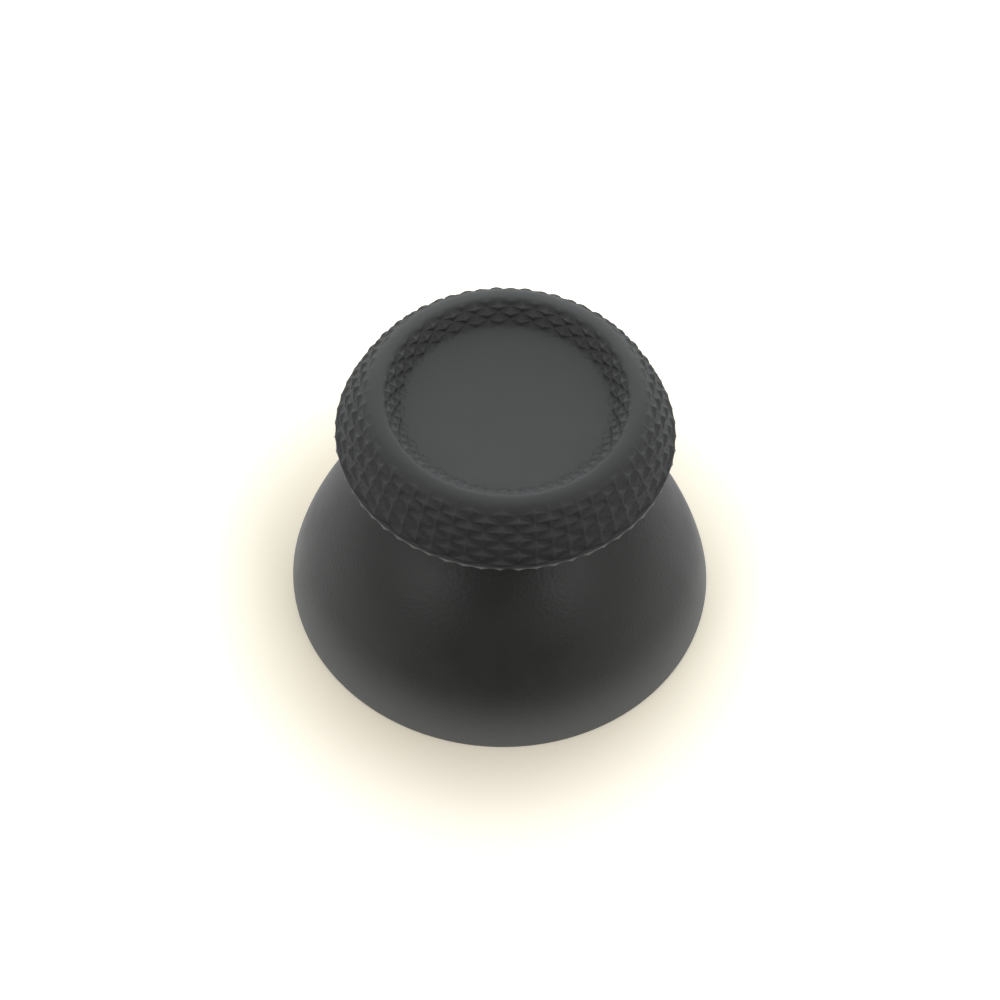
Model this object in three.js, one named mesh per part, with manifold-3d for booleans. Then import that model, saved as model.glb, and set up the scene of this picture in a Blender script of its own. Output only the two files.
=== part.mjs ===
// A thumbstick cap for a game controller, in millimetres, +Z up.
// A hard plastic dome with a neck carries a soft grip with a diamond knurl on its rim.
// The origin is in the middle of the dome's open rim, which is also the flat ring it stands on.

import * as THREE from 'three';
import * as BufferGeometryUtils from 'three/addons/utils/BufferGeometryUtils.js';
import Module from 'manifold-3d';

const wasm = await Module();
wasm.setup();

// Driving sizes of the dome
const DOME_RADIUS = 11.53;
const DOME_RISE = 10.8;
const DOME_WALL = 1.2;
const DOME_FLATNESS = 2.59;
const DOME_BELLY = 1.2;
const RIM_ROUND = 0.05;
const DOME_ROOF = 1.9;

// Driving sizes of the neck and the flange that carries the grip
const NECK_RADIUS = 3.8;
const SHOULDER_BLEND = 1.1;
const NECK_BLEND = 1.3;
const FLANGE_RADIUS = 7.9;
const FLANGE_THICKNESS = 0.9;
const FLANGE_HEIGHT = 12.45;
const FLANGE_BLEND = 0.8;
const HUB_RADIUS = 4.9;

// Driving sizes of the boss, and of its double-D socket for the joystick's post
const BOSS_RADIUS = 3.25;
const BOSS_END = 2.4;
const SOCKET_WIDTH = 4.1;
const SOCKET_FLATS = 3.1;
const SOCKET_DEPTH = 6.2;
const SOCKET_CHAMFER = 0.35;

// Driving sizes of the soft grip
const DISC_RADIUS = 5.3;
const DISC_DISH = 0.15;
const DISC_SKIN = 0.8;
const CROWN_RADIUS = 6.5;
const CROWN_RISE = 2.85;
const DISC_DROP = 1;
const EDGE_RADIUS = 8.8;
const EDGE_RISE = 0.5;
const LIP_HEIGHT = 0.2;
const LIP_PROUD = 0.11;
const LIP_UNDERCUT = 0.06;
const GRIP_CLEARANCE = 0.1;

// Heights that follow from them: the edge stands on the flange, the crown and the disc on the edge
const FLANGE_TOP = FLANGE_HEIGHT + FLANGE_THICKNESS;
const EDGE_HEIGHT = FLANGE_HEIGHT + EDGE_RISE;
const CROWN_HEIGHT = EDGE_HEIGHT + CROWN_RISE;
const DISC_HEIGHT = CROWN_HEIGHT - DISC_DROP;
const HUB_HEIGHT = DISC_HEIGHT - DISC_SKIN;

// The bend of the grip's section: slope angles from the horizontal, and how far each bend reaches
const INNER_SLOPE = THREE.MathUtils.degToRad(42);
const INNER_REACH = 0.7;
const CROWN_INNER_REACH = 0.4;
const CROWN_OUTER_REACH = 1.2;
const EDGE_LEAN = THREE.MathUtils.degToRad(74);
const EDGE_REACH = 1.3;

// Driving sizes of the knurl
const KNURL_COLUMNS = 30;
const INNER_PITCH = 0.76;
const OUTER_PITCH = 0.95;
const INNER_DEPTH = 0.16;
const OUTER_DEPTH = 0.3;
const EDGE_DEPTH = 0.15;
const INNER_APEX_SHIFT = 0.15;
const OUTER_APEX_SHIFT = 0.15;
const INNER_ROWS = 4;
const OUTER_ROWS = 7;
const FADE_ROWS = 3;

// How finely round surfaces are faceted
const ROUND_STEPS = 72;
const CURVE_STEPS = 6;
const DISC_RINGS = 3;
const DISC_RINGS_REACH = 0.97;
const MERGE_DISTANCE = 1e-4;

// Turns a three.js geometry into a solid that can be joined and cut
function toSolid(geometry) {
  const bare = geometry.clone();
  bare.deleteAttribute('normal');
  bare.deleteAttribute('uv');
  const merged = BufferGeometryUtils.mergeVertices(bare, MERGE_DISTANCE);
  const corners = Array.from(merged.index.array);
  const kept = [];
  for (let i = 0; i < corners.length; i += 3) {
    const [a, b, c] = corners.slice(i, i + 3);
    if (a !== b && b !== c && c !== a) kept.push(a, b, c);
  }
  const mesh = new wasm.Mesh({
    numProp: 3,
    vertProperties: new Float32Array(merged.attributes.position.array),
    triVerts: new Uint32Array(kept),
  });
  return new wasm.Manifold(mesh);
}

// Turns a solid back into a geometry
function toGeometry(solid) {
  const mesh = solid.getMesh();
  const geometry = new THREE.BufferGeometry();
  geometry.setAttribute('position', new THREE.BufferAttribute(mesh.vertProperties, 3));
  geometry.setIndex(new THREE.BufferAttribute(mesh.triVerts, 1));
  geometry.computeVertexNormals();
  return geometry;
}

// Spins a section (radius, height) about the upright axis
function spin(section) {
  const geometry = new THREE.LatheGeometry(section, ROUND_STEPS);
  geometry.rotateX(Math.PI / 2);
  return geometry;
}

// The height of a dome's surface at a radius: a rounded bell, flat on top and steep at its rim
function domeHeight(radius, domeRadius, domeRise) {
  const share = Math.min(1, radius / domeRadius) ** DOME_FLATNESS;
  return domeRise * (1 - share) ** (1 / DOME_BELLY);
}

// The radius of a dome's surface at a height
function domeReach(height, domeRadius, domeRise) {
  const share = (height / domeRise) ** DOME_BELLY;
  return domeRadius * (1 - share) ** (1 / DOME_FLATNESS);
}

// Points along a dome between two heights, from low to high
function domePoints(from, to, domeRadius, domeRise, steps) {
  const points = [];
  for (let i = 0; i <= steps; i += 1) {
    const height = from + ((to - from) * i) / steps;
    points.push(new THREE.Vector2(domeReach(height, domeRadius, domeRise), height));
  }
  return points;
}

// The outside of the base, from the rim over the dome, the neck and the flange to the hub's top
function baseOutside() {
  const blendRadius = NECK_RADIUS + SHOULDER_BLEND;
  const blendHeight = domeHeight(blendRadius, DOME_RADIUS, DOME_RISE);
  const nudge = 0.01;
  const fall = (domeHeight(blendRadius - nudge, DOME_RADIUS, DOME_RISE) - blendHeight) / nudge;
  const corner = new THREE.Vector2(NECK_RADIUS, blendHeight + fall * SHOULDER_BLEND);
  const neckFoot = new THREE.Vector2(NECK_RADIUS, corner.y + NECK_BLEND);
  const dome = domePoints(RIM_ROUND, blendHeight, DOME_RADIUS, DOME_RISE, 3 * CURVE_STEPS);
  const blend = new THREE.QuadraticBezierCurve(dome[dome.length - 1], corner, neckFoot);
  const under = new THREE.QuadraticBezierCurve(
    new THREE.Vector2(NECK_RADIUS, FLANGE_HEIGHT - FLANGE_BLEND),
    new THREE.Vector2(NECK_RADIUS, FLANGE_HEIGHT),
    new THREE.Vector2(NECK_RADIUS + FLANGE_BLEND, FLANGE_HEIGHT),
  );
  return [
    new THREE.Vector2(DOME_RADIUS - RIM_ROUND, 0),
    ...dome,
    ...blend.getPoints(CURVE_STEPS).slice(1),
    ...under.getPoints(CURVE_STEPS / 2),
    new THREE.Vector2(FLANGE_RADIUS, FLANGE_HEIGHT),
    new THREE.Vector2(FLANGE_RADIUS, FLANGE_TOP),
    new THREE.Vector2(HUB_RADIUS, FLANGE_TOP),
    new THREE.Vector2(HUB_RADIUS, HUB_HEIGHT),
    new THREE.Vector2(0, HUB_HEIGHT),
  ];
}

// The hard plastic base: dome shell, boss, neck and flange, moulded as one piece
function stickBase() {
  const innerRadius = DOME_RADIUS - DOME_WALL;
  const innerRise = DOME_RISE - DOME_WALL;
  const roof = DOME_RISE - DOME_ROOF;
  const inside = domePoints(0, roof, innerRadius, innerRise, 2 * CURVE_STEPS);
  const section = [
    new THREE.Vector2(0, BOSS_END),
    new THREE.Vector2(BOSS_RADIUS, BOSS_END),
    new THREE.Vector2(BOSS_RADIUS, roof),
    ...inside.reverse(),
    ...baseOutside(),
  ];
  return toSolid(spin(section)).subtract(socket());
}

// A double-D outline: a round cut by two flats
function doubleD(grow) {
  const radius = SOCKET_WIDTH / 2 + grow;
  const flat = SOCKET_FLATS / 2 + grow;
  const turn = Math.asin(flat / radius);
  const outline = new THREE.Shape();
  outline.absarc(0, 0, radius, -turn, turn, false);
  outline.absarc(0, 0, radius, Math.PI - turn, Math.PI + turn, false);
  outline.closePath();
  return outline;
}

// The socket's space, with a lead-in step at its mouth for the post
function socket() {
  const options = { bevelEnabled: false, curveSegments: CURVE_STEPS };
  const slack = 1;
  const bore = new THREE.ExtrudeGeometry(doubleD(0), { ...options, depth: SOCKET_DEPTH + slack });
  bore.translate(0, 0, BOSS_END - slack);
  const leadIn = new THREE.ExtrudeGeometry(doubleD(SOCKET_CHAMFER), {
    ...options,
    depth: SOCKET_CHAMFER + slack,
  });
  leadIn.translate(0, 0, BOSS_END - slack);
  return toSolid(bore).add(toSolid(leadIn));
}

// The grip's section from the disc's edge up to the crown
function innerCurve() {
  const start = new THREE.Vector2(DISC_RADIUS, DISC_HEIGHT);
  const end = new THREE.Vector2(CROWN_RADIUS, CROWN_HEIGHT);
  const rise = new THREE.Vector2(Math.cos(INNER_SLOPE), Math.sin(INNER_SLOPE));
  return new THREE.CubicBezierCurve(
    start,
    start.clone().addScaledVector(rise, INNER_REACH),
    new THREE.Vector2(CROWN_RADIUS - CROWN_INNER_REACH, CROWN_HEIGHT),
    end,
  );
}

// The grip's section from the crown down to the edge
function outerCurve() {
  const start = new THREE.Vector2(CROWN_RADIUS, CROWN_HEIGHT);
  const end = new THREE.Vector2(EDGE_RADIUS, EDGE_HEIGHT);
  const rise = new THREE.Vector2(-Math.cos(EDGE_LEAN), Math.sin(EDGE_LEAN));
  return new THREE.CubicBezierCurve(
    start,
    new THREE.Vector2(CROWN_RADIUS + CROWN_OUTER_REACH, CROWN_HEIGHT),
    end.clone().addScaledVector(rise, EDGE_REACH),
    end,
  );
}

// A point at a distance along a curve, pushed into the grip by a depth
function sunkPoint(curve, distance, depth) {
  const share = THREE.MathUtils.clamp(distance / curve.getLength(), 0, 1);
  const point = curve.getPointAt(share);
  const along = curve.getTangentAt(share);
  return new THREE.Vector2(point.x + along.y * depth, point.y - along.x * depth);
}

// One ring of the knurl. Crests stand on the curve, and the grooves cross between them. A crest is
// moved back along the curve by the apex shift, so one face of each diamond is short and steep.
function knurlRing(curve, distance, row, depth, apexShift) {
  const ring = [];
  for (let half = 0; half < 2 * KNURL_COLUMNS; half += 1) {
    const crest = (half + row) % 2 === 0;
    const point = sunkPoint(curve, distance - (crest ? apexShift : 0), crest ? 0 : depth);
    const turn = (half * Math.PI) / KNURL_COLUMNS;
    ring.push(new THREE.Vector3(point.x * Math.sin(turn), -point.x * Math.cos(turn), point.y));
  }
  return { points: ring, row };
}

// One plain ring of the grip
function plainRing(radius, height) {
  const ring = [];
  for (let half = 0; half < 2 * KNURL_COLUMNS; half += 1) {
    const turn = (half * Math.PI) / KNURL_COLUMNS;
    ring.push(new THREE.Vector3(radius * Math.sin(turn), -radius * Math.cos(turn), height));
  }
  return { points: ring, row: 0 };
}

// The share of its full depth that a groove has at a row, counted from the smooth crown
function fade(rowsFromCrown) {
  return THREE.MathUtils.smoothstep(rowsFromCrown + 0.5, 0, FADE_ROWS);
}

// How deep the outer grooves are at a row, counted from the edge
function outerDepth(row) {
  return fade(OUTER_ROWS - row) * THREE.MathUtils.lerp(EDGE_DEPTH, OUTER_DEPTH, row / OUTER_ROWS);
}

// All rings of the grip, from the middle of the disc over the rim and up into the pocket
function gripRings() {
  const rings = [];
  for (let i = 1; i <= DISC_RINGS; i += 1) {
    const share = (DISC_RINGS_REACH * i) / DISC_RINGS;
    const height = DISC_HEIGHT - DISC_DISH * (1 - share * share);
    rings.push(plainRing(DISC_RADIUS * share, height));
  }
  const inner = innerCurve();
  for (let row = 0; row <= INNER_ROWS; row += 1) {
    const depth = row === 0 ? 0 : INNER_DEPTH * fade(INNER_ROWS - row);
    rings.push(knurlRing(inner, (row * INNER_PITCH) / 2, row, depth, INNER_APEX_SHIFT));
  }
  rings.push(plainRing(CROWN_RADIUS, CROWN_HEIGHT));
  const outer = outerCurve();
  const edge = outer.getLength();
  for (let row = OUTER_ROWS; row >= 0; row -= 1) {
    const distance = edge - (row * OUTER_PITCH) / 2;
    rings.push(knurlRing(outer, distance, row, outerDepth(row), OUTER_APEX_SHIFT));
  }
  const lipMiddle = EDGE_HEIGHT - LIP_HEIGHT / 2;
  const lipFoot = EDGE_HEIGHT - LIP_HEIGHT;
  const pocket = FLANGE_RADIUS + GRIP_CLEARANCE;
  const hubPocket = HUB_RADIUS + GRIP_CLEARANCE;
  rings.push(plainRing(EDGE_RADIUS + LIP_PROUD, lipMiddle));
  rings.push(plainRing(EDGE_RADIUS + LIP_PROUD - LIP_UNDERCUT, lipFoot));
  rings.push(plainRing(pocket, FLANGE_HEIGHT));
  rings.push(plainRing(pocket, FLANGE_TOP));
  rings.push(plainRing(hubPocket, FLANGE_TOP));
  rings.push(plainRing(hubPocket, HUB_HEIGHT));
  return rings;
}

// The soft grip: rings joined by triangles whose diagonals follow the grooves
function gripCap() {
  const rings = gripRings();
  const count = 2 * KNURL_COLUMNS;
  const places = [0, 0, DISC_HEIGHT - DISC_DISH];
  for (const ring of rings) {
    for (const point of ring.points) places.push(point.x, point.y, point.z);
  }
  const last = places.length / 3;
  places.push(0, 0, HUB_HEIGHT);
  const corners = [];
  const at = (ring, half) => 1 + ring * count + (half % count);
  for (let half = 0; half < count; half += 1) {
    corners.push(0, at(0, half), at(0, half + 1));
    corners.push(last, at(rings.length - 1, half + 1), at(rings.length - 1, half));
  }
  for (let ring = 0; ring + 1 < rings.length; ring += 1) {
    for (let half = 0; half < count; half += 1) {
      const crestFirst = (half + rings[ring].row) % 2 === 0;
      const [a, b] = [at(ring, half), at(ring, half + 1)];
      const [c, d] = [at(ring + 1, half), at(ring + 1, half + 1)];
      if (crestFirst) corners.push(a, c, b, b, c, d);
      else corners.push(a, c, d, a, d, b);
    }
  }
  const geometry = new THREE.BufferGeometry();
  geometry.setAttribute('position', new THREE.Float32BufferAttribute(places, 3));
  geometry.setIndex(corners);
  geometry.computeVertexNormals();
  return geometry;
}

const hardPlastic = new THREE.MeshStandardMaterial({
  color: 0x2b2b2a,
  roughness: 0.5,
  metalness: 0,
});
const softRubber = new THREE.MeshStandardMaterial({
  color: 0x303231,
  roughness: 0.7,
  metalness: 0,
});

const thumbstick = new THREE.Group();

const base = new THREE.Mesh(toGeometry(stickBase()), hardPlastic);
base.name = 'stick_base';
thumbstick.add(base);

const grip = new THREE.Mesh(gripCap(), softRubber);
grip.name = 'grip_cap';
thumbstick.add(grip);

export default thumbstick;
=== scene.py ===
# %% [markdown]
# # A thumbstick cap, finished as the real one is
#
# This lesson dresses a small part: the cap that a thumb rests on at the top of a game controller's
# joystick. The solid model already has the right sizes. What it lacks is what the eye looks for in a
# moulded part: round surfaces without facets, a crisp knurl with worn-soft crests, satin plastic and
# dusty rubber. Everything here is measured in metres, in the same frame as the solid model.

# %% Load the solid model
import math

import bpy
import numpy as np
from mathutils import Matrix, Vector


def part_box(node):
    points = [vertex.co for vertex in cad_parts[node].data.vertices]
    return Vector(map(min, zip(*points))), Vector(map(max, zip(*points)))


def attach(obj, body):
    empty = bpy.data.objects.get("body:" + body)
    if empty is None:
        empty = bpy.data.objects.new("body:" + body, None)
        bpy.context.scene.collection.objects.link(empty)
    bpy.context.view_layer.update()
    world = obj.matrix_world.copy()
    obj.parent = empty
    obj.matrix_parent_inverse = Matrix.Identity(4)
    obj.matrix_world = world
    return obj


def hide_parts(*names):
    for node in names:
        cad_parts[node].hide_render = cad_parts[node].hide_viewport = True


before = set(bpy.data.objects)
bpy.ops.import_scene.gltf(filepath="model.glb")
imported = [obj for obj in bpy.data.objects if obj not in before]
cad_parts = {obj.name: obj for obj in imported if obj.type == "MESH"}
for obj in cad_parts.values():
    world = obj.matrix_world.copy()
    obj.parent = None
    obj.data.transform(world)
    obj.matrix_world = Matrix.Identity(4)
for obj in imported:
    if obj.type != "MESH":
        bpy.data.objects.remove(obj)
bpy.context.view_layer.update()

MM = 0.001
print("the solid model's nodes:", sorted(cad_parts))

# %% [markdown]
# ## The camera
#
# The camera was found by fitting a round dome and a round grip to their outlines in the photograph.
# It stands 150 mm away and looks down by a little under 56 degrees, as a phone held over a table does.
# It is pitched up a little, so the cap sits low in the picture, and it leans by a little over 2 degrees.
# A lens shift would do the same as the pitch, but a real phone has no lens shift, so the camera turns.

# %% Place the camera
CAMERA_DISTANCE = 150 * MM
CAMERA_ELEVATION = math.radians(55.6)
CAMERA_PITCH_UP = math.radians(1.47)
CAMERA_LEAN = math.radians(2.3)
LENS = 96.7
SENSOR = 36.0

towards_camera = Vector((0, -math.cos(CAMERA_ELEVATION), math.sin(CAMERA_ELEVATION)))
level = Matrix.Rotation(math.pi / 2 - CAMERA_ELEVATION, 3, "X")
pitched = level @ Matrix.Rotation(CAMERA_PITCH_UP, 3, "X")
leaned = Matrix.Rotation(CAMERA_LEAN, 3, towards_camera) @ pitched

lens = bpy.data.cameras.new("camera")
lens.lens = LENS
lens.sensor_width = SENSOR
lens.clip_start = 5 * MM
camera = bpy.data.objects.new("camera", lens)
camera.matrix_world = Matrix.Translation(towards_camera * CAMERA_DISTANCE) @ leaned.to_4x4()
bpy.context.scene.collection.objects.link(camera)
bpy.context.scene.camera = camera
print("camera at", [round(v * 1000, 1) for v in camera.matrix_world.translation], "mm")

# %% [markdown]
# ## Round things are stacks of rings
#
# Both pieces are turned shapes: every slice across the axis is a ring. Blender's Screw modifier can
# spin a section, but then every slice must be a perfect circle. Here the socket is a circle with two
# flats, and the knurl moves each point in and out. So one small function joins any stack of rings
# into a closed mesh, and each piece only has to say where the points of its rings are.

# %% A closed mesh from a stack of rings
def mesh_from_rings(name, bottom, rings, top):
    """Joins rings of points, listed from one end of the surface to the other, and closes both ends."""
    around = len(rings[0])
    points = np.concatenate([[bottom], *rings, [top]])
    first = 1 + around * np.arange(len(rings))
    here = np.arange(around)
    after = (here + 1) % around
    faces = [(0, 1 + b, 1 + a) for a, b in zip(here, after)]
    for low, high in zip(first[:-1], first[1:]):
        faces += zip(low + here, low + after, high + after, high + here)
    last = len(points) - 1
    faces += [(last, first[-1] + a, first[-1] + b) for a, b in zip(here, after)]
    mesh = bpy.data.meshes.new(name)
    mesh.from_pydata([tuple(p) for p in points], [], [tuple(int(i) for i in f) for f in faces])
    mesh.validate()
    mesh.polygons.foreach_set("use_smooth", [True] * len(mesh.polygons))
    piece = bpy.data.objects.new(name, mesh)
    bpy.context.scene.collection.objects.link(piece)
    print(f"{name}: {len(rings)} rings of {around} points")
    return piece


def ring(radius, height, turns):
    """One ring of points. The radius and height may be numbers, or one value for each turn."""
    radius = np.broadcast_to(radius, turns.shape)
    height = np.broadcast_to(height, turns.shape)
    return np.stack([radius * np.sin(turns), -radius * np.cos(turns), height], axis=1)


def even_turns(count):
    return np.arange(count) * 2 * math.pi / count


def bezier(handles, shares):
    """Points on the curve that a few handles pull into shape, one for each share of the way."""
    points = np.array(handles, float)[:, None, :]
    shares = shares[:, None]
    while len(points) > 1:
        points = points[:-1] * (1 - shares) + points[1:] * shares
    return points[0]


# %% [markdown]
# ## The dome's section
#
# The lower piece is one hard plastic moulding. Its outside is a bell: steep at the rim and nearly flat
# on top, then a hollow curve runs up into the neck, and the neck spreads into the flange that the
# rubber sits on. The bell is a formula with two powers. It follows the photograph's outline better
# than a part of a ball does, which would be too round at the shoulder.

# %% The bell curve and the sizes of the base
DOME_RADIUS = 11.53 * MM
DOME_RISE = 10.8 * MM
DOME_WALL = 1.2 * MM
BELL_FLATNESS = 2.59
BELL_BELLY = 1.2
RIM_ROUND = 0.05 * MM
ROOF_HEIGHT = 8.9 * MM
NECK_RADIUS = 3.8 * MM
SHOULDER_BLEND = 1.1 * MM
NECK_BLEND = 1.3 * MM
FLANGE_RADIUS = 7.9 * MM
FLANGE_HEIGHT = 12.45 * MM
FLANGE_THICKNESS = 0.9 * MM
FLANGE_BLEND = 0.8 * MM
HUB_RADIUS = 4.9 * MM
HUB_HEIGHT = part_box("stick_base")[1].z
SLOPE_STEP = 0.01 * MM
RIM_POINTS = 5
BELL_POINTS = 90
SHOULDER_POINTS = 16
NECK_POINTS = 12


def bell_radius(height, radius, rise):
    share = np.clip(height / rise, 0, 1) ** BELL_BELLY
    return radius * (1 - share) ** (1 / BELL_FLATNESS)


def bell_height(distance, radius, rise):
    share = np.clip(distance / radius, 0, 1) ** BELL_FLATNESS
    return rise * (1 - share) ** (1 / BELL_BELLY)


print("dome", 2000 * DOME_RADIUS, "mm across; hub top at", round(HUB_HEIGHT * 1000, 2), "mm")

# %% The outside of the base, from the rim up to the hub
def base_outside():
    blend_radius = NECK_RADIUS + SHOULDER_BLEND
    blend_height = float(bell_height(blend_radius, DOME_RADIUS, DOME_RISE))
    inward_height = float(bell_height(blend_radius - SLOPE_STEP, DOME_RADIUS, DOME_RISE))
    slope = (inward_height - blend_height) / SLOPE_STEP
    corner = (NECK_RADIUS, blend_height + slope * SHOULDER_BLEND)
    rim_angles = np.linspace(-math.pi / 2, 0, RIM_POINTS)
    rim_reach = float(bell_radius(RIM_ROUND, DOME_RADIUS, DOME_RISE))
    points = [(rim_reach - RIM_ROUND * (1 - math.cos(a)), RIM_ROUND * (1 + math.sin(a)))
              for a in rim_angles]
    for height in np.linspace(RIM_ROUND, blend_height, BELL_POINTS)[1:]:
        points.append((float(bell_radius(height, DOME_RADIUS, DOME_RISE)), height))
    shoulder = [points[-1], corner, (NECK_RADIUS, corner[1] + NECK_BLEND)]
    under = [(NECK_RADIUS, FLANGE_HEIGHT - FLANGE_BLEND), (NECK_RADIUS, FLANGE_HEIGHT),
             (NECK_RADIUS + FLANGE_BLEND, FLANGE_HEIGHT)]
    points += [tuple(p) for p in bezier(shoulder, np.linspace(0, 1, SHOULDER_POINTS))[1:]]
    points += [tuple(p) for p in bezier(under, np.linspace(0, 1, NECK_POINTS))]
    flange_top = FLANGE_HEIGHT + FLANGE_THICKNESS
    return points + [(FLANGE_RADIUS, FLANGE_HEIGHT), (FLANGE_RADIUS, flange_top),
                     (HUB_RADIUS, flange_top), (HUB_RADIUS, HUB_HEIGHT)]


outside = base_outside()
print("the outside has", len(outside), "points")

# %% [markdown]
# ## The socket under the dome
#
# Turned over, the cap shows what holds it on a controller: a boss in the middle of the hollow dome,
# with a socket for the joystick's post. The post is round with two flats, so the socket is too.
# A boolean cut would leave long thin faces round its mouth. Because the outline can be told as a
# radius for each direction, the socket is simply a few more rings of the same stack.

# %% The inside of the base, from the socket's roof to the rim
BOSS_RADIUS = 3.25 * MM
BOSS_END = 2.4 * MM
SOCKET_RADIUS = 2.05 * MM
SOCKET_FLAT = 1.55 * MM
SOCKET_DEPTH = 6.2 * MM
SOCKET_STEP = 0.35 * MM
BOSS_FILLET = 0.25 * MM
INSIDE_RINGS = 60
BASE_TURNS = even_turns(288)


def double_d(grow):
    """The socket's radius in each direction: a circle cut by a flat on either side."""
    across = np.maximum(np.abs(np.cos(BASE_TURNS)), 1e-6)
    return np.minimum(SOCKET_RADIUS + grow, (SOCKET_FLAT + grow) / across)


def base_inside():
    roof = BOSS_END + SOCKET_DEPTH
    mouth = BOSS_END + SOCKET_STEP
    rings = [ring(double_d(0) * 0.5, roof, BASE_TURNS), ring(double_d(0), roof, BASE_TURNS),
             ring(double_d(0), mouth, BASE_TURNS), ring(double_d(SOCKET_STEP), BOSS_END, BASE_TURNS)]
    boss = [(BOSS_RADIUS - BOSS_FILLET, BOSS_END), (BOSS_RADIUS, BOSS_END + BOSS_FILLET),
            (BOSS_RADIUS, ROOF_HEIGHT - BOSS_FILLET), (BOSS_RADIUS + BOSS_FILLET, ROOF_HEIGHT)]
    rings += [ring(radius, height, BASE_TURNS) for radius, height in boss]
    for height in np.linspace(ROOF_HEIGHT, 0, INSIDE_RINGS):
        radius = float(bell_radius(height, DOME_RADIUS - DOME_WALL, DOME_RISE - DOME_WALL))
        rings.append(ring(radius, height, BASE_TURNS))
    return rings


inside = base_inside()
print("the inside has", len(inside), "rings")

# %% Make the base
base_rings = inside + [ring(radius, height, BASE_TURNS) for radius, height in outside]
socket_end = (0, 0, BOSS_END + SOCKET_DEPTH)
base = mesh_from_rings("stick_base_moulding", socket_end, base_rings, (0, 0, HUB_HEIGHT))
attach(base, "root")
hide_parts("stick_base")

# %% [markdown]
# ## The grip's section
#
# The rubber grip has a flat disc for the thumb, a slope up to a round crown, and a long shoulder down
# to its widest point, where a thin lip ends it. The slope and the shoulder are each one curve with
# four handles. They are walked by distance along the curve, because the knurl's rows are evenly
# spaced along the surface and not in height.

# %% The slope and the shoulder as curves measured by length
DISC_RADIUS = 5.3 * MM
DISC_HEIGHT = 14.8 * MM
DISC_DISH = 0.15 * MM
CROWN_RADIUS = 6.5 * MM
CROWN_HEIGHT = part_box("grip_cap")[1].z
EDGE_RADIUS = 8.8 * MM
EDGE_HEIGHT = 12.95 * MM
INNER_SLOPE = math.radians(42)
INNER_REACH = 0.5 * MM
CROWN_INNER_REACH = 0.65 * MM
CROWN_OUTER_REACH = 1.2 * MM
EDGE_LEAN = math.radians(74)
EDGE_REACH = 1.3 * MM
CURVE_POINTS = 400


class MeasuredCurve:
    """A curve that is asked by distance along it, and that runs on straight before its start."""

    def __init__(self, handles):
        self.points = bezier(handles, np.linspace(0, 1, CURVE_POINTS))
        steps = np.linalg.norm(np.diff(self.points, axis=0), axis=1)
        self.distances = np.concatenate([[0], np.cumsum(steps)])
        self.length = self.distances[-1]
        self.tangents = np.gradient(self.points, self.distances, axis=0)
        self.tangents /= np.linalg.norm(self.tangents, axis=1)[:, None]

    def at(self, distance, sink):
        """Radius and height at a distance, pushed into the rubber by a depth."""
        beyond = np.minimum(distance, 0)
        x, y = (np.interp(distance, self.distances, self.points[:, i]) for i in (0, 1))
        tx, ty = (np.interp(distance, self.distances, self.tangents[:, i]) for i in (0, 1))
        return x + tx * beyond + ty * sink, y + ty * beyond - tx * sink


inner_handle = (INNER_REACH * math.cos(INNER_SLOPE), INNER_REACH * math.sin(INNER_SLOPE))
edge_handle = (EDGE_REACH * math.cos(EDGE_LEAN), EDGE_REACH * math.sin(EDGE_LEAN))
slope = MeasuredCurve([
    (DISC_RADIUS, DISC_HEIGHT),
    (DISC_RADIUS + inner_handle[0], DISC_HEIGHT + inner_handle[1]),
    (CROWN_RADIUS - CROWN_INNER_REACH, CROWN_HEIGHT),
    (CROWN_RADIUS, CROWN_HEIGHT),
])
shoulder = MeasuredCurve([
    (CROWN_RADIUS, CROWN_HEIGHT),
    (CROWN_RADIUS + CROWN_OUTER_REACH, CROWN_HEIGHT),
    (EDGE_RADIUS - edge_handle[0], EDGE_HEIGHT + edge_handle[1]),
    (EDGE_RADIUS, EDGE_HEIGHT),
])
print(f"slope {slope.length * 1000:.2f} mm, shoulder {shoulder.length * 1000:.2f} mm")

# %% [markdown]
# ## The knurl
#
# The knurl is a net of crossing grooves that leaves a field of little pyramids. Seen closely they
# aren't plain pyramids. Each is a small star whose sides are hollow between four sharp ridges, and its
# crest stands off the middle of its diamond, so the ridges to the left and right droop like wings.
# That is why the real grip shows light stars over dark pits. Bump can't give the toothed outline, so
# the stars are real geometry.

# %% The height of a star anywhere on the net
KNURL_COLUMNS = 30
INNER_STEP = 0.38 * MM
OUTER_STEP = 0.475 * MM
STAR_POWER = 0.52
CREST_ROUND = 0.06
RIDGE_ROUND = 0.05
GROOVE_ROUND = 0.05


def rounded(value, amount):
    """The distance from zero, with its sharp bend at zero rounded off."""
    return np.sqrt(value ** 2 + amount ** 2) - amount


def groove_share(column, row, crest_shift):
    """0 on a star's crest and 1 in the groove round it. Row counts half diamonds."""
    nearest = np.round(column)
    best = np.full(np.broadcast(column, row).shape, np.inf)
    for side in (-1, 0, 1):
        middle = nearest + side
        offset = np.mod(middle, 2)
        centre = 2 * np.round((row - offset) / 2) + offset
        for lift in (-2, 0, 2):
            across = rounded(column - middle, RIDGE_ROUND)
            along = row - (centre + lift) - crest_shift + crest_shift * across
            along = rounded(along, RIDGE_ROUND) / np.where(along > 0, 1 - crest_shift, 1 + crest_shift)
            star = (across ** STAR_POWER + along ** STAR_POWER) ** (1 / STAR_POWER)
            best = np.minimum(best, rounded(star, CREST_ROUND))
    return np.clip(1 - rounded(np.minimum(best, 1) - 1, GROOVE_ROUND), 0, 1)


def smooth_step(value, low, high):
    share = np.clip((value - low) / (high - low), 0, 1)
    return share * share * (3 - 2 * share)


print("one diamond is", round(2 * math.pi * EDGE_RADIUS / KNURL_COLUMNS * 1000, 2), "mm wide at the edge")

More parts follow.
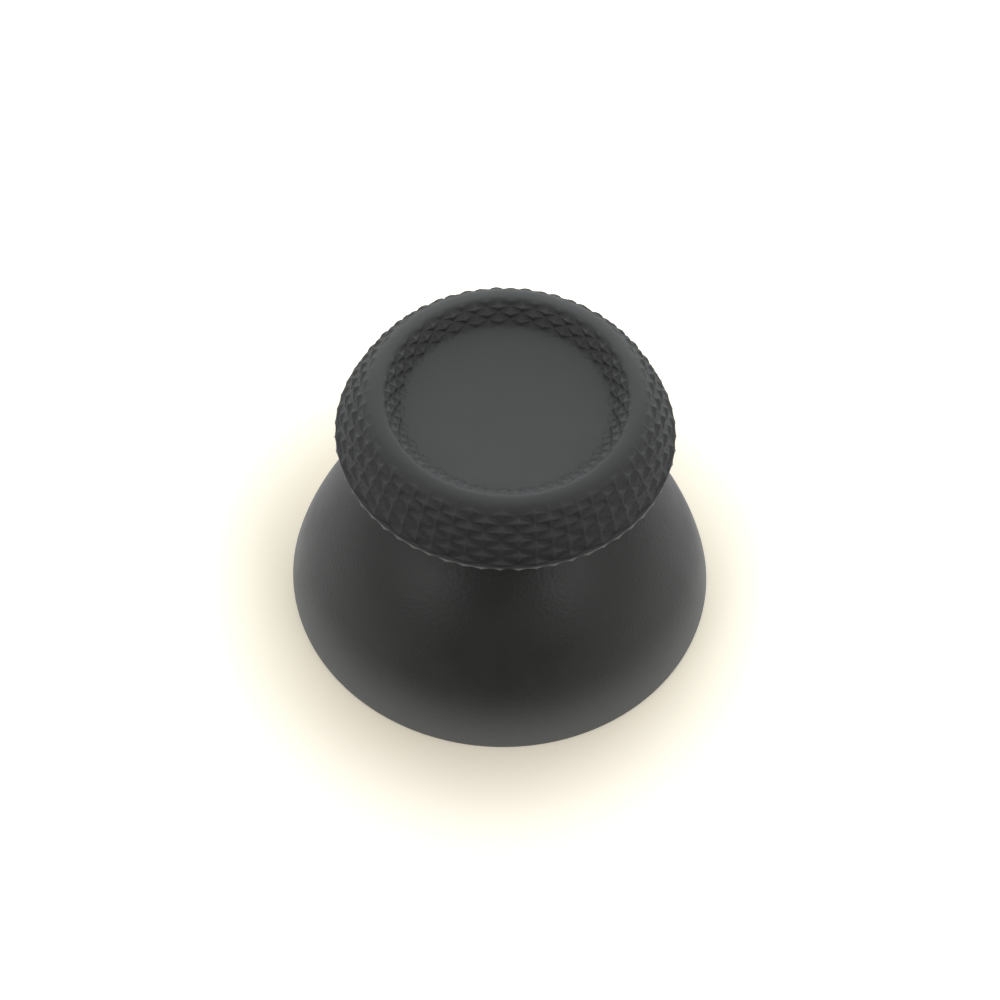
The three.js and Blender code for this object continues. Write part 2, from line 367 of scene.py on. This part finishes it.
# %% [markdown]
# ## Laying the knurl on the grip
#
# Both bands have thirty columns round the grip. The rows are 0.38 mm apart on the slope and 0.475 mm
# on the shoulder, and are counted from the disc's edge up and from the grip's edge up. The slope's
# stars point at the disc, and the shoulder's are a little taller and point at the crown. Both fade into
# the smooth crown. Low on the slope the stars stand in the disc, so nothing there may sink below the
# disc's own surface. Last comes the lip, a thin uneven edge that comes to a small point under each
# crest.

# %% The rings of the grip's visible side
GRIP_TURNS = even_turns(660)
COLUMNS_AT = GRIP_TURNS * KNURL_COLUMNS / math.pi
SLOPE_FADE = 0.6 * MM
OUTER_ROWS = 7
RINGS_PER_ROW = 8
DISC_RINGS = 12
CROWN_RINGS = 6
FADE_START = 0.5
INNER_DEPTH = 0.17 * MM
INNER_CREST_SHIFT = -0.4
OUTER_DEPTH = 0.21 * MM
EDGE_DEPTH = 0.15 * MM
OUTER_CREST_SHIFT = 0.31
FADE_ROWS = 3
LIP_HEIGHT = 0.2 * MM
LIP_PROUD = 0.11 * MM
LIP_BUMP = 0.045 * MM
LIP_TOP = 0.35 * LIP_HEIGHT
LIP_POINTEDNESS = 0.7
SKIN = 0.01 * MM
POCKET_CLEARANCE = 0.1 * MM


def disc_height(radius):
    share = np.clip(radius / DISC_RADIUS, 0, 1)
    return DISC_HEIGHT - DISC_DISH * (1 - share ** 2)


def disc_rings():
    end = DISC_RADIUS - INNER_STEP
    return [ring(radius, disc_height(radius), GRIP_TURNS) for radius in np.linspace(0, end, DISC_RINGS)[1:]]


def fade(rows_from_crown):
    return smooth_step(rows_from_crown + FADE_START, 0, FADE_ROWS)


def slope_rings():
    rings = []
    rows = slope.length / INNER_STEP
    for row in np.linspace(-1, rows, round((rows + 1) * RINGS_PER_ROW) + 1):
        share = groove_share(COLUMNS_AT, np.full_like(COLUMNS_AT, row), INNER_CREST_SHIFT)
        depth = INNER_DEPTH * smooth_step(slope.length - row * INNER_STEP, 0, SLOPE_FADE)
        radius, height = slope.at(row * INNER_STEP, depth * share)
        floor = disc_height(radius)
        rings.append(ring(radius, np.maximum(height, floor), GRIP_TURNS))
    return rings


def shoulder_rings():
    rings = []
    top = OUTER_ROWS + FADE_START
    for row in np.linspace(top, 0, round(top * RINGS_PER_ROW) + 1):
        depth = (EDGE_DEPTH + (OUTER_DEPTH - EDGE_DEPTH) * row / OUTER_ROWS) * fade(OUTER_ROWS - row)
        share = groove_share(COLUMNS_AT, np.full_like(COLUMNS_AT, row), OUTER_CREST_SHIFT)
        radius, height = shoulder.at(shoulder.length - row * OUTER_STEP, depth * share)
        rings.append(ring(radius, height, GRIP_TURNS))
    return rings


def crown_rings():
    end = shoulder.length - (OUTER_ROWS + FADE_START) * OUTER_STEP
    return [ring(*shoulder.at(np.full_like(COLUMNS_AT, d), 0), GRIP_TURNS)
            for d in np.linspace(0, end, CROWN_RINGS)[1:-1]]


def waver(turns, phase):
    """A slow unevenness round the grip, between about -1 and 1, as a trimmed edge has."""
    waves = [(5, 0.30), (11, 0.25), (17, 0.30), (29, 0.28), (43, 0.22)]
    return sum(size * np.sin(count * turns + phase * count) for count, size in waves)


def lip_rings():
    points = 1 - 2 * np.abs(np.sin(KNURL_COLUMNS * GRIP_TURNS)) ** LIP_POINTEDNESS
    bump = LIP_BUMP * (0.7 * points + 0.5 * waver(GRIP_TURNS, 2.1))
    reach = EDGE_RADIUS + LIP_PROUD - LIP_BUMP + bump
    top = EDGE_HEIGHT - LIP_TOP - 0.5 * bump
    foot = EDGE_HEIGHT - LIP_HEIGHT + LIP_BUMP - 0.8 * bump
    return [ring(EDGE_RADIUS + 0.4 * (reach - EDGE_RADIUS), top + 0.2 * LIP_HEIGHT, GRIP_TURNS),
            ring(reach - SKIN, top, GRIP_TURNS),
            ring(reach, 0.5 * (top + foot), GRIP_TURNS),
            ring(reach - 2 * SKIN, foot, GRIP_TURNS),
            ring(EDGE_RADIUS, foot - SKIN, GRIP_TURNS)]


def pocket_rings():
    flange_top = FLANGE_HEIGHT + FLANGE_THICKNESS
    wall = FLANGE_RADIUS + POCKET_CLEARANCE
    hub = HUB_RADIUS + POCKET_CLEARANCE
    corners = [(wall, FLANGE_HEIGHT), (wall, flange_top), (hub, flange_top), (hub, HUB_HEIGHT)]
    return [ring(radius, height, GRIP_TURNS) for radius, height in corners]


# %% Make the grip
outer_rings = disc_rings() + slope_rings() + crown_rings() + shoulder_rings()
grip_rings = outer_rings + lip_rings() + pocket_rings()
grip = mesh_from_rings("grip_cap_moulding", (0, 0, disc_height(0)), grip_rings, (0, 0, HUB_HEIGHT))
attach(grip, "root")
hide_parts("grip_cap")

# %% [markdown]
# ## Satin plastic and soft rubber
#
# Both are nearly black, so what is seen is mostly how they reflect. The plastic is satin with a fine
# spark-eroded grain, which breaks its highlights up. The rubber is duller and a little cloudy, and
# its grain is finer. The grain is far smaller than the mesh's faces, so it is bump.

# %% A small helper for node materials
def noise_node(nodes, links, coordinates, size, detail):
    """Noise whose lumps are about as large as size, in metres."""
    noise = nodes.new("ShaderNodeTexNoise")
    noise.inputs["Scale"].default_value = 1 / size
    noise.inputs["Detail"].default_value = detail
    links.new(coordinates, noise.inputs["Vector"])
    return noise.outputs["Fac"]


def spread(nodes, links, value, low, high):
    """Maps noise from its usual range to the range from low to high."""
    remap = nodes.new("ShaderNodeMapRange")
    remap.inputs["From Min"].default_value = 0.3
    remap.inputs["From Max"].default_value = 0.7
    remap.inputs["To Min"].default_value = low
    remap.inputs["To Max"].default_value = high
    links.new(value, remap.inputs["Value"])
    return remap.outputs["Result"]


def share_between(nodes, links, value, start, full):
    """0 up to one value and 1 from another one on, with a soft step between."""
    step = nodes.new("ShaderNodeMapRange")
    step.interpolation_type = "SMOOTHSTEP"
    step.inputs["From Min"].default_value = start
    step.inputs["From Max"].default_value = full
    links.new(value, step.inputs["Value"])
    return step.outputs["Result"]


def two_colours(nodes, links, share, first, second):
    """Goes from the first colour, where the share is 0, to the second, where it is 1."""
    tint = nodes.new("ShaderNodeMix")
    tint.data_type = "RGBA"
    tint.inputs["A"].default_value = (*first, 1)
    tint.inputs["B"].default_value = (*second, 1)
    links.new(share, tint.inputs["Factor"])
    return tint.outputs["Result"]


def measured(nodes, links, operation, place, other, output="Value"):
    """A vector operation on a place and another vector."""
    node = nodes.new("ShaderNodeVectorMath")
    node.operation = operation
    node.inputs[1].default_value = other
    links.new(place, node.inputs[0])
    return node.outputs[output]


def along(nodes, links, place, way):
    """How far a point lies along a way."""
    return measured(nodes, links, "DOT_PRODUCT", place, way)


def moulded_material(name, dark, light, rough_low, rough_high, grain, grain_height, cloud):
    material = bpy.data.materials.new(name)
    material.use_nodes = True
    nodes, links = material.node_tree.nodes, material.node_tree.links
    shader = nodes["Principled BSDF"]
    place = nodes.new("ShaderNodeTexCoord").outputs["Object"]
    clouds = noise_node(nodes, links, place, cloud, 3)
    colour = two_colours(nodes, links, spread(nodes, links, clouds, 0, 1), dark, light)
    links.new(colour, shader.inputs["Base Color"])
    links.new(spread(nodes, links, clouds, rough_low, rough_high), shader.inputs["Roughness"])
    bump = nodes.new("ShaderNodeBump")
    bump.inputs["Strength"].default_value = 1.0
    bump.inputs["Distance"].default_value = grain_height
    links.new(noise_node(nodes, links, place, grain, 2), bump.inputs["Height"])
    links.new(bump.outputs["Normal"], shader.inputs["Normal"])
    return material


hard_plastic = moulded_material(
    "hard_plastic_satin", dark=(0.0205, 0.0202, 0.0190), light=(0.0260, 0.0256, 0.0240),
    rough_low=0.42, rough_high=0.50, grain=0.18 * MM, grain_height=0.02 * MM, cloud=2.5 * MM)
soft_rubber = moulded_material(
    "soft_rubber_matte", dark=(0.0368, 0.0374, 0.0366), light=(0.0424, 0.0431, 0.0422),
    rough_low=0.56, rough_high=0.64, grain=0.1 * MM, grain_height=0.006 * MM, cloud=1.8 * MM)
base.data.materials.append(hard_plastic)
grip.data.materials.append(soft_rubber)

# %% [markdown]
# ## Where the finish is worn
#
# The dome's foot is painted lighter, most at the rim: a painted glow standing in for the light of the
# white floor round it. The lip is painted lighter as a highlight on its thin edge. Each is a second
# colour, blended over the first by how high a point is or how far it lies from the axis.

# %% The painted floor light on the rim and the painted highlight on the lip
# Painted light: the dome gets lighter from 3.8 mm down to its rim, standing in for the white floor's light.
PAINTED_FLOOR_LIGHT = (0.14, 0.14, 0.132)
FLOOR_LIGHT_UNTIL = 3.8 * MM
FLOOR_LIGHT_FULL_AT = -0.8 * MM
# Painted highlight: the lip's outer edge is much lighter than the rubber.
PAINTED_LIP_HIGHLIGHT = (0.19, 0.19, 0.18)


def height_of(nodes, links, place):
    return along(nodes, links, place, (0, 0, 1))


def radius_of(nodes, links, place):
    flat = measured(nodes, links, "MULTIPLY", place, (1, 1, 0), output="Vector")
    return measured(nodes, links, "LENGTH", flat, (0, 0, 0))


def blend_over(material, colour, measure, start, full):
    """Blends a colour over the material's own, from a measure's start value to its full one."""
    nodes, links = material.node_tree.nodes, material.node_tree.links
    base_colour = nodes["Principled BSDF"].inputs["Base Color"]
    place = nodes.new("ShaderNodeTexCoord").outputs["Object"]
    blend = nodes.new("ShaderNodeMix")
    blend.data_type = "RGBA"
    blend.inputs["B"].default_value = (*colour, 1)
    links.new(share_between(nodes, links, measure(nodes, links, place), start, full), blend.inputs["Factor"])
    links.new(base_colour.links[0].from_socket, blend.inputs["A"])
    links.new(blend.outputs["Result"], base_colour)


# The dome's painted floor light, blended in by height.
blend_over(hard_plastic, PAINTED_FLOOR_LIGHT, height_of, FLOOR_LIGHT_UNTIL, FLOOR_LIGHT_FULL_AT)
# The lip's painted highlight, blended in by distance from the axis.
blend_over(soft_rubber, PAINTED_LIP_HIGHLIGHT, radius_of, EDGE_RADIUS, EDGE_RADIUS + 0.5 * LIP_PROUD)
print("the lip is", round(1000 * LIP_PROUD, 2), "mm proud")

# %% [markdown]
# ## A white table
#
# The cap stands on a white table that the photograph shows almost without a mark: only a soft warm
# shade lies close round the dome. What the camera sees directly is a matte floor with that shade
# painted into its colour, warm near the cap and white further out, with a trace of glow. The black
# plastic has to mirror a floor as white as that, so glossy rays get a little glow too. All other light
# meets a plain matte white sheet, painted dark with the photographer's shadow beyond the picture's
# lower edge: that is why the front of the cap mirrors so little.

# %% The table's sheet
TABLE_SIZE = 1.2
mesh = bpy.data.meshes.new("table")
half = TABLE_SIZE / 2
corners = [(-half, -half, 0), (half, -half, 0), (half, half, 0), (-half, half, 0)]
mesh.from_pydata(corners, [], [(0, 1, 2, 3)])
table = bpy.data.objects.new("table", mesh)
bpy.context.scene.collection.objects.link(table)

# %% The table's finish
# Painted shade: the floor's seen colour is warm close round the dome and white further out.
PAINTED_SHADE_WARM = (0.915, 0.82, 0.63)
FAR_WHITE = (1.55, 1.44, 1.24)
PAINTED_SHADE_MIDDLE = (-0.8 * MM, -0.4 * MM, 0)
PAINTED_SHADE_UNTIL = 9 * MM
PAINTED_SHADE_ENDS = 18.5 * MM
SHEET_WHITE = (0.82, 0.81, 0.79)
SHADOWED = (0.05, 0.05, 0.05)
SHADOW_FROM = 14 * MM
SHADOW_FULL = 28 * MM
SEEN_GLOW = 0.12
MIRRORED_GLOW = 0.25

white = bpy.data.materials.new("table_white")
white.use_nodes = True
nodes, links = white.node_tree.nodes, white.node_tree.links
place = nodes.new("ShaderNodeTexCoord").outputs["Object"]

in_front = along(nodes, links, place, (0, -1, 0))
shadowed = share_between(nodes, links, in_front, SHADOW_FROM, SHADOW_FULL)
matte = nodes["Principled BSDF"]
matte.inputs["Roughness"].default_value = 0.9
links.new(two_colours(nodes, links, shadowed, SHEET_WHITE, SHADOWED), matte.inputs["Base Color"])

# The painted shade round the dome, measured from a point a little to the left of and in front of the axis.
distance = measured(nodes, links, "DISTANCE", place, PAINTED_SHADE_MIDDLE)
far = share_between(nodes, links, distance, PAINTED_SHADE_UNTIL, PAINTED_SHADE_ENDS)
seen = nodes.new("ShaderNodeBsdfDiffuse")
links.new(two_colours(nodes, links, far, PAINTED_SHADE_WARM, FAR_WHITE), seen.inputs["Color"])


def glowing(surface, strength):
    """A shader with a little glow added to it, but none where the sheet is shadowed."""
    glow = nodes.new("ShaderNodeEmission")
    links.new(two_colours(nodes, links, shadowed, (1, 1, 1), (0, 0, 0)), glow.inputs["Color"])
    glow.inputs["Strength"].default_value = strength
    both = nodes.new("ShaderNodeAddShader")
    links.new(surface, both.inputs[0])
    links.new(glow.outputs["Emission"], both.inputs[1])
    return both.outputs["Shader"]


def for_ray(kind, otherwise, surface):
    """Takes one shader for one kind of ray, and another for the rest."""
    choose = nodes.new("ShaderNodeMixShader")
    links.new(nodes.new("ShaderNodeLightPath").outputs[kind], choose.inputs["Fac"])
    links.new(otherwise, choose.inputs[1])
    links.new(surface, choose.inputs[2])
    return choose.outputs["Shader"]


plain = matte.outputs["BSDF"]
mirrored = for_ray("Is Glossy Ray", plain, glowing(plain, MIRRORED_GLOW))
shown = for_ray("Is Camera Ray", mirrored, glowing(seen.outputs["BSDF"], SEEN_GLOW))
links.new(shown, nodes["Material Output"].inputs["Surface"])
table.data.materials.append(white)
print("the table is", TABLE_SIZE, "m wide")

# %% [markdown]
# ## Soft light from a white room
#
# A black part is drawn by what it mirrors. In the photograph its crown is lightest at the back, the
# lower front is darkest, and two soft lights lie on the dome's shoulders. So the room has a white
# ceiling that is brighter towards the back, walls that are dark low down, a dark patch where the
# photographer stands, one wide window behind the cap, and a soft light on either side of the
# photographer. All of it is told by direction alone. Each light has an edge, where it starts, and a
# core, where it is full, both as angles from its middle.

# %% The room's levels and angles
CEILING_LEVEL = 0.75
WALL_LEVEL = 0.04
WALLS_END = math.radians(-2)
CEILING_FROM = math.radians(20)
BRIGHTER_BEHIND = 0.25
PATCH_ELEVATION = math.radians(50)
PATCH_SHADE = 0.9
PATCH_EDGE = math.radians(40)
PATCH_CORE = math.radians(12)
WINDOW_ELEVATION = math.radians(14)
WINDOW_LEVEL = 1.95
WINDOW_COLOUR = (0.94, 1.0, 1.02)
WINDOW_EDGE = math.radians(65)
WINDOW_CORE = math.radians(35)
LAMP_LEVEL = 1.7
LAMP_EDGE = math.radians(20)
LAMP_CORE = math.radians(6)
LAMP_WAYS = [(-0.67, -0.54, 0.51), (0.67, -0.54, 0.51)]

world = bpy.data.worlds.new("white_room")
bpy.context.scene.world = world
world.use_nodes = True
nodes, links = world.node_tree.nodes, world.node_tree.links
direction = nodes.new("ShaderNodeTexCoord").outputs["Generated"]


def towards(way, edge, core):
    """0 for directions further than the edge angle from a way, and 1 within the core angle."""
    return share_between(nodes, links, along(nodes, links, direction, way), math.cos(edge), math.cos(core))


def combine(operation, *values):
    """Two values, sockets or numbers, put together."""
    node = nodes.new("ShaderNodeMath")
    node.operation = operation
    for socket, value in zip(node.inputs, values):
        if isinstance(value, (int, float)):
            socket.default_value = value
        else:
            links.new(value, socket)
    return node.outputs["Value"]


# %% The ceiling and walls, with the photographer's patch
upward = along(nodes, links, direction, (0, 0, 1))
above_walls = share_between(nodes, links, upward, math.sin(WALLS_END), math.sin(CEILING_FROM))
room = combine("ADD", combine("MULTIPLY", above_walls, CEILING_LEVEL - WALL_LEVEL), WALL_LEVEL)
patch_way = (0, -math.cos(PATCH_ELEVATION), math.sin(PATCH_ELEVATION))
patch = towards(patch_way, PATCH_EDGE, PATCH_CORE)
unshaded = combine("SUBTRACT", 1, combine("MULTIPLY", patch, PATCH_SHADE))
behind = combine("MULTIPLY", along(nodes, links, direction, (0, 1, 0)), BRIGHTER_BEHIND)
light = combine("MULTIPLY", combine("MULTIPLY", room, unshaded), combine("ADD", behind, 1))

# %% The window and the two lights
window_way = (0, math.cos(WINDOW_ELEVATION), math.sin(WINDOW_ELEVATION))
window = towards(window_way, WINDOW_EDGE, WINDOW_CORE)
light = combine("MAXIMUM", light, combine("MULTIPLY", window, WINDOW_LEVEL))
for lamp_way in LAMP_WAYS:
    lamp = towards(lamp_way, LAMP_EDGE, LAMP_CORE)
    light = combine("ADD", light, combine("MULTIPLY", lamp, LAMP_LEVEL))
links.new(light, nodes["Background"].inputs["Strength"])
tint = two_colours(nodes, links, window, (1, 1, 1), WINDOW_COLOUR)
links.new(tint, nodes["Background"].inputs["Color"])
print("the room's light is", len(nodes), "nodes")

# %% Finish
bpy.context.scene.view_settings.view_transform = "Standard"
